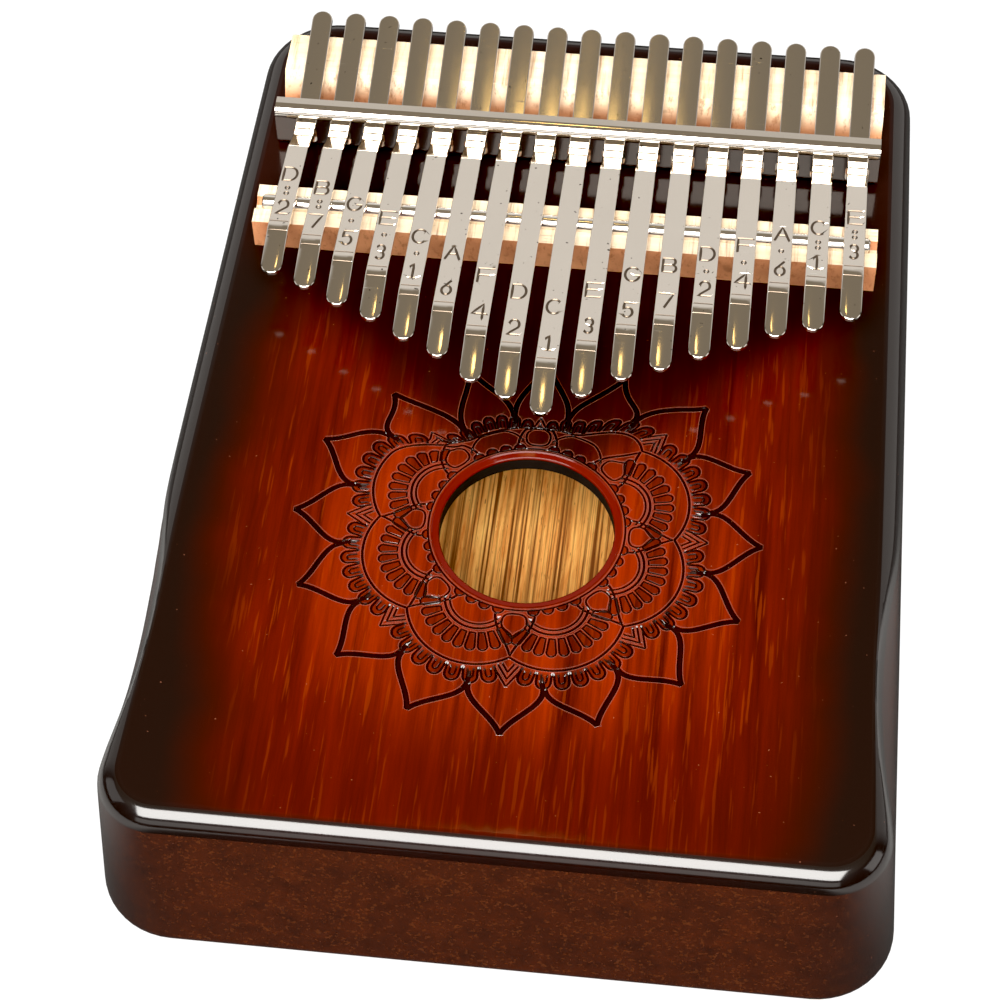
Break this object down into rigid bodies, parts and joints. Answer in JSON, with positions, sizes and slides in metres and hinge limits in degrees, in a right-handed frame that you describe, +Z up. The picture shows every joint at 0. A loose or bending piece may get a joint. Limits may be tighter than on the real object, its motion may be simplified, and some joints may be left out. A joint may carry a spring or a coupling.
{
  "type": "thumb piano",
  "caption": "Hollow wooden mbira: flat steel tines clamped between two wooden bridges by a notched bracket, over a board with a round sound hole and a carved flower.",
  "frame": {"origin": "centre of the overall box on the flat back that the instrument rests on", "axes": "X across the tines; +Y along the tines towards their fixed rear ends, the player sits at -Y; +Z up out of the soundboard"},
  "size_m": [0.1402, 0.1942, 0.0524],
  "materials": {
    "lacquered_wood": "gloss red-brown sunburst lacquer over straight grain",
    "striped_wood": "bare golden wood with dark brown stripes",
    "brace_wood": "bare sanded softwood",
    "bridge_wood": "bare pale wood with saw marks",
    "rod_steel": "polished steel rod",
    "bracket_nickel": "mirror nickel plate",
    "screw_steel": "zinc plated steel",
    "tine_nickel": "satin nickel with polished edges"
  },
  "bodies": {
    "body": {"soundboard": "lacquered_wood", "side_frame": "lacquered_wood", "back_plate": "striped_wood", "bracket_brace": "brace_wood", "front_bridge": "bridge_wood", "saddle_rod": "rod_steel", "rear_bridge": "bridge_wood", "bracket": "bracket_nickel", "bracket_screws": "screw_steel"},
    "tine_01_shank": {"tine_01_shank": "tine_nickel"},
    "tine_01_reed": {"tine_01_reed": "tine_nickel"},
    "tine_02_shank": {"tine_02_shank": "tine_nickel"},
    "tine_02_reed": {"tine_02_reed": "tine_nickel"},
    "tine_03_shank": {"tine_03_shank": "tine_nickel"},
    "tine_03_reed": {"tine_03_reed": "tine_nickel"},
    "tine_04_shank": {"tine_04_shank": "tine_nickel"},
    "tine_04_reed": {"tine_04_reed": "tine_nickel"},
    "tine_05_shank": {"tine_05_shank": "tine_nickel"},
    "tine_05_reed": {"tine_05_reed": "tine_nickel"},
    "tine_06_shank": {"tine_06_shank": "tine_nickel"},
    "tine_06_reed": {"tine_06_reed": "tine_nickel"},
    "tine_07_shank": {"tine_07_shank": "tine_nickel"},
    "tine_07_reed": {"tine_07_reed": "tine_nickel"},
    "tine_08_shank": {"tine_08_shank": "tine_nickel"},
    "tine_08_reed": {"tine_08_reed": "tine_nickel"},
    "tine_09_shank": {"tine_09_shank": "tine_nickel"},
    "tine_09_reed": {"tine_09_reed": "tine_nickel"},
    "tine_10_shank": {"tine_10_shank": "tine_nickel"},
    "tine_10_reed": {"tine_10_reed": "tine_nickel"},
    "tine_11_shank": {"tine_11_shank": "tine_nickel"},
    "tine_11_reed": {"tine_11_reed": "tine_nickel"},
    "tine_12_shank": {"tine_12_shank": "tine_nickel"},
    "tine_12_reed": {"tine_12_reed": "tine_nickel"},
    "tine_13_shank": {"tine_13_shank": "tine_nickel"},
    "tine_13_reed": {"tine_13_reed": "tine_nickel"},
    "tine_14_shank": {"tine_14_shank": "tine_nickel"},
    "tine_14_reed": {"tine_14_reed": "tine_nickel"},
    "tine_15_shank": {"tine_15_shank": "tine_nickel"},
    "tine_15_reed": {"tine_15_reed": "tine_nickel"},
    "tine_16_shank": {"tine_16_shank": "tine_nickel"},
    "tine_16_reed": {"tine_16_reed": "tine_nickel"},
    "tine_17_shank": {"tine_17_shank": "tine_nickel"},
    "tine_17_reed": {"tine_17_reed": "tine_nickel"}
  },
  "joints": [
    {"name": "tine_01_tuning", "type": "slide", "parent": "body", "child": "tine_01_shank", "axis": [0, 1, 0], "range_m": [-0.0012, 0.0012]},
    {"name": "tine_02_tuning", "type": "slide", "parent": "body", "child": "tine_02_shank", "axis": [0, 1, 0], "range_m": [-0.0012, 0.0012]},
    {"name": "tine_03_tuning", "type": "slide", "parent": "body", "child": "tine_03_shank", "axis": [0, 1, 0], "range_m": [-0.0012, 0.0012]},
    {"name": "tine_04_tuning", "type": "slide", "parent": "body", "child": "tine_04_shank", "axis": [0, 1, 0], "range_m": [-0.0012, 0.0012]},
    {"name": "tine_05_tuning", "type": "slide", "parent": "body", "child": "tine_05_shank", "axis": [0, 1, 0], "range_m": [-0.0012, 0.0012]},
    {"name": "tine_06_tuning", "type": "slide", "parent": "body", "child": "tine_06_shank", "axis": [0, 1, 0], "range_m": [-0.0012, 0.0012]},
    {"name": "tine_07_tuning", "type": "slide", "parent": "body", "child": "tine_07_shank", "axis": [0, 1, 0], "range_m": [-0.0012, 0.0012]},
    {"name": "tine_08_tuning", "type": "slide", "parent": "body", "child": "tine_08_shank", "axis": [0, 1, 0], "range_m": [-0.0012, 0.0012]},
    {"name": "tine_09_tuning", "type": "slide", "parent": "body", "child": "tine_09_shank", "axis": [0, 1, 0], "range_m": [-0.0012, 0.0012]},
    {"name": "tine_10_tuning", "type": "slide", "parent": "body", "child": "tine_10_shank", "axis": [0, 1, 0], "range_m": [-0.0012, 0.0012]},
    {"name": "tine_11_tuning", "type": "slide", "parent": "body", "child": "tine_11_shank", "axis": [0, 1, 0], "range_m": [-0.0012, 0.0012]},
    {"name": "tine_12_tuning", "type": "slide", "parent": "body", "child": "tine_12_shank", "axis": [0, 1, 0], "range_m": [-0.0012, 0.0012]},
    {"name": "tine_13_tuning", "type": "slide", "parent": "body", "child": "tine_13_shank", "axis": [0, 1, 0], "range_m": [-0.0012, 0.0012]},
    {"name": "tine_14_tuning", "type": "slide", "parent": "body", "child": "tine_14_shank", "axis": [0, 1, 0], "range_m": [-0.0012, 0.0012]},
    {"name": "tine_15_tuning", "type": "slide", "parent": "body", "child": "tine_15_shank", "axis": [0, 1, 0], "range_m": [-0.0012, 0.0012]},
    {"name": "tine_16_tuning", "type": "slide", "parent": "body", "child": "tine_16_shank", "axis": [0, 1, 0], "range_m": [-0.0012, 0.0012]},
    {"name": "tine_17_tuning", "type": "slide", "parent": "body", "child": "tine_17_shank", "axis": [0, 1, 0], "range_m": [-0.0012, 0.0012]},
    {"name": "tine_01_pluck", "type": "hinge", "parent": "tine_01_shank", "child": "tine_01_reed", "pos_m": [-0.05296, 0.037, 0.045], "axis": [1, 0, 0], "range_deg": [-2.5, 2.5], "stiffness_Nm_per_rad": 10.47},
    {"name": "tine_02_pluck", "type": "hinge", "parent": "tine_02_shank", "child": "tine_02_reed", "pos_m": [-0.04624, 0.037, 0.045], "axis": [1, 0, 0], "range_deg": [-2.5, 2.5], "stiffness_Nm_per_rad": 8.97},
    {"name": "tine_03_pluck", "type": "hinge", "parent": "tine_03_shank", "child": "tine_03_reed", "pos_m": [-0.03952, 0.037, 0.045], "axis": [1, 0, 0], "range_deg": [-2.5, 2.5], "stiffness_Nm_per_rad": 7.63},
    {"name": "tine_04_pluck", "type": "hinge", "parent": "tine_04_shank", "child": "tine_04_reed", "pos_m": [-0.0328, 0.037, 0.045], "axis": [1, 0, 0], "range_deg": [-2.5, 2.5], "stiffness_Nm_per_rad": 6.8},
    {"name": "tine_05_pluck", "type": "hinge", "parent": "tine_05_shank", "child": "tine_05_reed", "pos_m": [-0.02608, 0.037, 0.045], "axis": [1, 0, 0], "range_deg": [-2.5, 2.5], "stiffness_Nm_per_rad": 5.92},
    {"name": "tine_06_pluck", "type": "hinge", "parent": "tine_06_shank", "child": "tine_06_reed", "pos_m": [-0.01936, 0.037, 0.045], "axis": [1, 0, 0], "range_deg": [-2.5, 2.5], "stiffness_Nm_per_rad": 5.33},
    {"name": "tine_07_pluck", "type": "hinge", "parent": "tine_07_shank", "child": "tine_07_reed", "pos_m": [-0.01264, 0.037, 0.045], "axis": [1, 0, 0], "range_deg": [-2.5, 2.5], "stiffness_Nm_per_rad": 4.65},
    {"name": "tine_08_pluck", "type": "hinge", "parent": "tine_08_shank", "child": "tine_08_reed", "pos_m": [-0.00592, 0.037, 0.045], "axis": [1, 0, 0], "range_deg": [-2.5, 2.5], "stiffness_Nm_per_rad": 4.29},
    {"name": "tine_09_pluck", "type": "hinge", "parent": "tine_09_shank", "child": "tine_09_reed", "pos_m": [0.0008, 0.037, 0.045], "axis": [1, 0, 0], "range_deg": [-2.5, 2.5], "stiffness_Nm_per_rad": 4.01},
    {"name": "tine_10_pluck", "type": "hinge", "parent": "tine_10_shank", "child": "tine_10_reed", "pos_m": [0.00752, 0.037, 0.045], "axis": [1, 0, 0], "range_deg": [-2.5, 2.5], "stiffness_Nm_per_rad": 4.47},
    {"name": "tine_11_pluck", "type": "hinge", "parent": "tine_11_shank", "child": "tine_11_reed", "pos_m": [0.01424, 0.037, 0.045], "axis": [1, 0, 0], "range_deg": [-2.5, 2.5], "stiffness_Nm_per_rad": 5.03},
    {"name": "tine_12_pluck", "type": "hinge", "parent": "tine_12_shank", "child": "tine_12_reed", "pos_m": [0.02096, 0.037, 0.045], "axis": [1, 0, 0], "range_deg": [-2.5, 2.5], "stiffness_Nm_per_rad": 5.46},
    {"name": "tine_13_pluck", "type": "hinge", "parent": "tine_13_shank", "child": "tine_13_reed", "pos_m": [0.02768, 0.037, 0.045], "axis": [1, 0, 0], "range_deg": [-2.5, 2.5], "stiffness_Nm_per_rad": 6.1},
    {"name": "tine_14_pluck", "type": "hinge", "parent": "tine_14_shank", "child": "tine_14_reed", "pos_m": [0.0344, 0.037, 0.045], "axis": [1, 0, 0], "range_deg": [-2.5, 2.5], "stiffness_Nm_per_rad": 6.73},
    {"name": "tine_15_pluck", "type": "hinge", "parent": "tine_15_shank", "child": "tine_15_reed", "pos_m": [0.04112, 0.037, 0.045], "axis": [1, 0, 0], "range_deg": [-2.5, 2.5], "stiffness_Nm_per_rad": 7.75},
    {"name": "tine_16_pluck", "type": "hinge", "parent": "tine_16_shank", "child": "tine_16_reed", "pos_m": [0.04784, 0.037, 0.045], "axis": [1, 0, 0], "range_deg": [-2.5, 2.5], "stiffness_Nm_per_rad": 8.55},
    {"name": "tine_17_pluck", "type": "hinge", "parent": "tine_17_shank", "child": "tine_17_reed", "pos_m": [0.05456, 0.037, 0.045], "axis": [1, 0, 0], "range_deg": [-2.5, 2.5], "stiffness_Nm_per_rad": 10.1}
  ]
}
